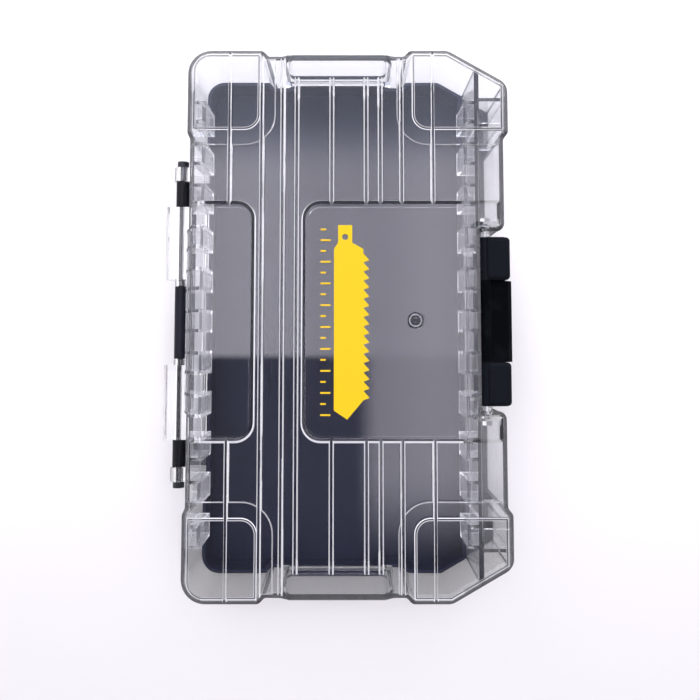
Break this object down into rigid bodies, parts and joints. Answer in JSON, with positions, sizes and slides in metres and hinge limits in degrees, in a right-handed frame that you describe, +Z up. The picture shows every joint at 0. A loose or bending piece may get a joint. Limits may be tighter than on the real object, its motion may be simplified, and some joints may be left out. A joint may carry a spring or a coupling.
{
  "type": "saw blade storage case",
  "caption": "Hinged storage case for saw blades: a shallow dark base tray, a deep clear ribbed lid with toothed side walls, and a hooked latch on the long side.",
  "frame": {"origin": "on the flat underside of the base, half way along the case, on the middle line of the lid's outline", "axes": "+X to the latch side, +Y along the case, +Z up through the lid"},
  "size_m": [0.1722, 0.256, 0.062],
  "materials": {
    "base_plastic": "dark charcoal moulded plastic, satin gloss",
    "clear_plastic": "clear water-white polycarbonate, polished",
    "latch_plastic": "black moulded nylon, fine texture",
    "pin_steel": "drawn steel wire",
    "pin_plastic": "black acetal rod"
  },
  "bodies": {
    "base": {"base": "base_plastic", "hinge_pin_rear": "pin_plastic", "hinge_pin_front": "pin_plastic"},
    "lid": {"lid": "clear_plastic", "latch_pin": "pin_steel"},
    "latch": {"latch": "latch_plastic"}
  },
  "joints": [
    {"name": "lid_hinge", "type": "hinge", "parent": "base", "child": "lid", "pos_m": [-0.0861, 0, 0.022], "axis": [0, -1, 0], "range_deg": [0, 130]},
    {"name": "latch_pivot", "type": "hinge", "parent": "lid", "child": "latch", "pos_m": [0.0654, 0, 0.049], "axis": [0, -1, 0], "range_deg": [0, 90]}
  ]
}
